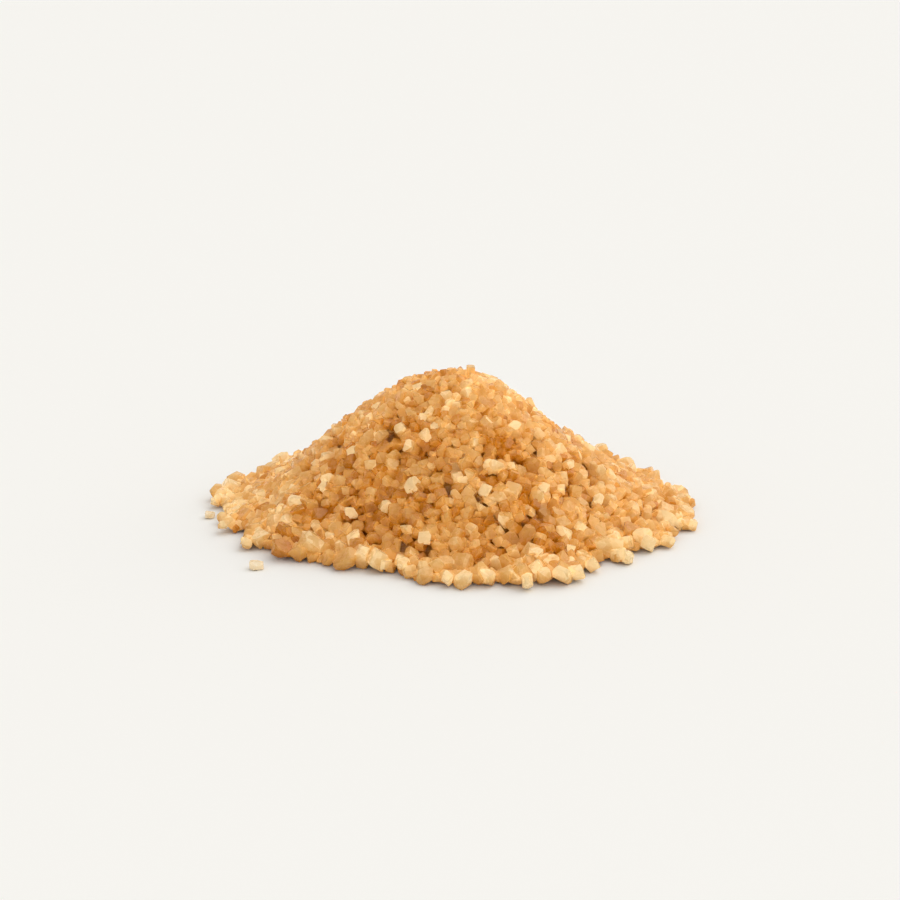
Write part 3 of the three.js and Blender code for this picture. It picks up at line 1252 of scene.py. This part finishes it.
    def _more_bright(self, rng: np.random.Generator) -> PlacedCrystals:
        """The pale grains, with more strewn evenly over the slope that faces away."""
        angle = rng.uniform(self.bright_from, self.bright_to, self.more_bright) * TURN
        share = rng.uniform(*self.bright_shares, self.more_bright)
        radius = np.sqrt(share) * self.form.foot_radius(angle)
        widths = rng.uniform(*self.bright_widths, self.more_bright)
        more = plan_places(angle, radius, widths)
        return replace(self.bright, places=np.vstack([self.bright.places, more]))

    def _more_fringe(self, rng: np.random.Generator) -> PlacedCrystals:
        """Fringe crystals round the foot that faces away."""
        angle = rng.uniform(self.fringe_from, self.fringe_to, self.more_fringe) * TURN
        beyond = rng.uniform(*self.fringe_beyond, self.more_fringe)
        radius = self.form.foot_radius(angle) + beyond
        widths = rng.uniform(*self.fringe_widths, self.more_fringe)
        places = plan_places(angle, radius, widths)
        return replace(self.fringe, places=places, tint=self.fringe_tint)


@dataclass
class StrayCrystal:
    """One crystal that lies apart from the heap, as large as its solid.

    Attributes:
        node: Name of the solid that it stands for.
        habit: The crystal's kind.
        seed: Seed of its unevenness.
        tint: Where its colour lies, from deep at 0 to nearly clear at 1.
    """

    node: str
    habit: Habit
    seed: int
    tint: float = 0.74

    def build(self, solid: bpy.types.Object, grower: CrystalGrower) -> bpy.types.Object:
        """Grow the crystal and scale it to its solid's box.

        Args:
            solid: The solid that it stands for.
            grower: What grows its shape.

        Returns:
            The crystal's piece.
        """
        points = corners_of(solid)
        low, high = points.min(axis=0), points.max(axis=0)
        grown = grower.grow(self.habit, np.random.default_rng(self.seed))
        first, last = grown.corners.min(axis=0), grown.corners.max(axis=0)
        corners = low + (grown.corners - first) / (last - first) * (high - low)
        values = {"tint": np.full(len(corners), self.tint)}
        facets = {"facet": grown.faces / grown.faces.max()}
        made = mesh_object(f"{self.node}_sugar", corners, grown.triangles, values, facets)
        log.info("%s: %d triangles", made.name, len(made.data.polygons))
        return made


@dataclass
class Studio:
    """White floor, soft light and the camera.

    Attributes:
        distance: From the camera to the middle of the heap's base, in mm.
        elevation: The camera's height above the horizon, in degrees.
        aim: The place that the camera looks at, in mm.
        lens: Focal length on a 36 mm sensor, in mm.
        room_colour: Colour of the white room.
        wall_light: How bright the room is at the height of the table.
        ceiling_light: How bright it is overhead.
        ceiling_from: Height of a direction, as the sine of its angle, where the ceiling begins.
        floor_width: Width of the floor, in mm.
        window_towards: Direction from the heap to the window.
        window_width: How wide the window looks from the heap, in degrees.
        window_strength: Its strength, in watts for each square metre.
        window_colour: Its colour.
    """

    distance: float = 200.0
    elevation: float = 20.0
    aim: tuple[float, float, float] = (-0.22, 0.19, 6.45)
    lens: float = 72.3
    room_colour: str = "#FFFEFB"
    wall_light: float = 0.93
    ceiling_light: float = 0.67
    ceiling_from: float = 0.35
    floor_width: float = 6000.0
    window_towards: tuple[float, float, float] = (0.75, 0.35, 0.95)
    window_width: float = 70.0
    window_strength: float = 1.2
    window_colour: str = "#FFFBF4"

    def build(self) -> None:
        """Make the floor, the lights and the camera."""
        self._floor()
        self._daylight()
        self._window()
        self._camera()

    def _floor(self) -> None:
        """A wide floor, cut from one square."""
        half = 0.5 * self.floor_width
        corners = np.array([[-half, -half, 0], [half, -half, 0], [half, half, 0], [-half, half, 0]])
        floor = mesh_object("floor", corners, np.array([[0, 1, 2], [0, 2, 3]]))
        floor.data.materials.append(StudioFloor().material())

    def _daylight(self) -> None:
        """White light from all round: the walls as bright as the floor, the ceiling less so."""
        world = bpy.data.worlds.new("white_room")
        bpy.context.scene.world = world
        world.use_nodes = True
        tree = world.node_tree
        direction = add_node(tree, "ShaderNodeTexCoord").outputs["Generated"]
        rise = add_node(tree, "ShaderNodeSeparateXYZ", links={"Vector": direction}).outputs["Z"]
        strength = add_node(
            tree,
            "ShaderNodeMapRange",
            values={2: self.ceiling_from, 3: self.wall_light, 4: self.ceiling_light},
            links={0: rise},
        ).outputs[0]
        background = tree.nodes["Background"]
        background.inputs["Color"].default_value = linear(self.room_colour)
        tree.links.new(strength, background.inputs["Strength"])

    def _window(self) -> None:
        """A wide soft light, so far off that it falls alike on the heap and the floor."""
        lamp = bpy.data.lights.new("key_window", "SUN")
        lamp.angle = math.radians(self.window_width)
        lamp.energy = self.window_strength
        lamp.color = linear(self.window_colour)[:3]
        made = bpy.data.objects.new("key_window", lamp)
        made.rotation_euler = Vector(self.window_towards).to_track_quat("Z", "Y").to_euler()
        bpy.context.scene.collection.objects.link(made)

    def _camera(self) -> None:
        """The camera, at its distance and height in front of the heap."""
        height = math.radians(self.elevation)
        lens = bpy.data.cameras.new("camera")
        lens.lens = self.lens
        lens.sensor_width = 36.0
        lens.clip_start, lens.clip_end = 0.01, 20.0
        camera = bpy.data.objects.new("camera", lens)
        back, up = self.distance * math.cos(height), self.distance * math.sin(height)
        camera.location = Vector((0.0, -back, up)) * MM
        aim = Vector(self.aim) * MM
        camera.rotation_euler = (aim - camera.location).to_track_quat("-Z", "Y").to_euler()
        bpy.context.scene.collection.objects.link(camera)
        bpy.context.scene.camera = camera


def dress(piece: bpy.types.Object, finish: bpy.types.Material, node: str) -> None:
    """Give a piece its finish and its place in the frame.

    Args:
        piece: The finished piece.
        finish: Its material.
        node: The solid that it stands for.
    """
    piece.data.materials.append(finish)
    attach(piece, BODY)
    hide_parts(node)


STRAY_CRYSTALS = (
    StrayCrystal("stray_crystal_front", Habit.WEDGE, 11),
    StrayCrystal("stray_crystal_left", Habit.PRISM, 5),
)


def main() -> None:
    """Build the heap on its frame, dress it, and set up the studio."""
    logging.basicConfig(level=logging.INFO, format="%(name)s: %(message)s")
    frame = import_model()
    bpy.context.scene.view_settings.view_transform = "Standard"
    form = HeapForm()
    form.read(frame["nodes"][HEAP_NODE])
    grower = CrystalGrower()
    golden = SugarCrystalFinish("golden_cane_sugar").material()
    # The strays' paler palette is partly a lone crystal's clearer colour and partly painted light
    # from the white floor shining through it.
    pale = SugarCrystalFinish(
        "clear_floor_lit_cane_sugar",
        stained="#E0B478",
        deep="#E8C38C",
        golden="#F0D3A4",
        light="#F6E0BC",
        pale="#FBEDD6",
        patch_share=0.4,
        scatter_mm=0.5,
    ).material()
    for piece in (Core(form).build(), LooseCrystals(form, grower).build()):
        dress(piece, golden, HEAP_NODE)
    for stray in STRAY_CRYSTALS:
        piece = stray.build(frame["nodes"][stray.node], grower)
        dress(piece, pale, stray.node)
    Studio().build()


if __name__ == "__main__":
    main()
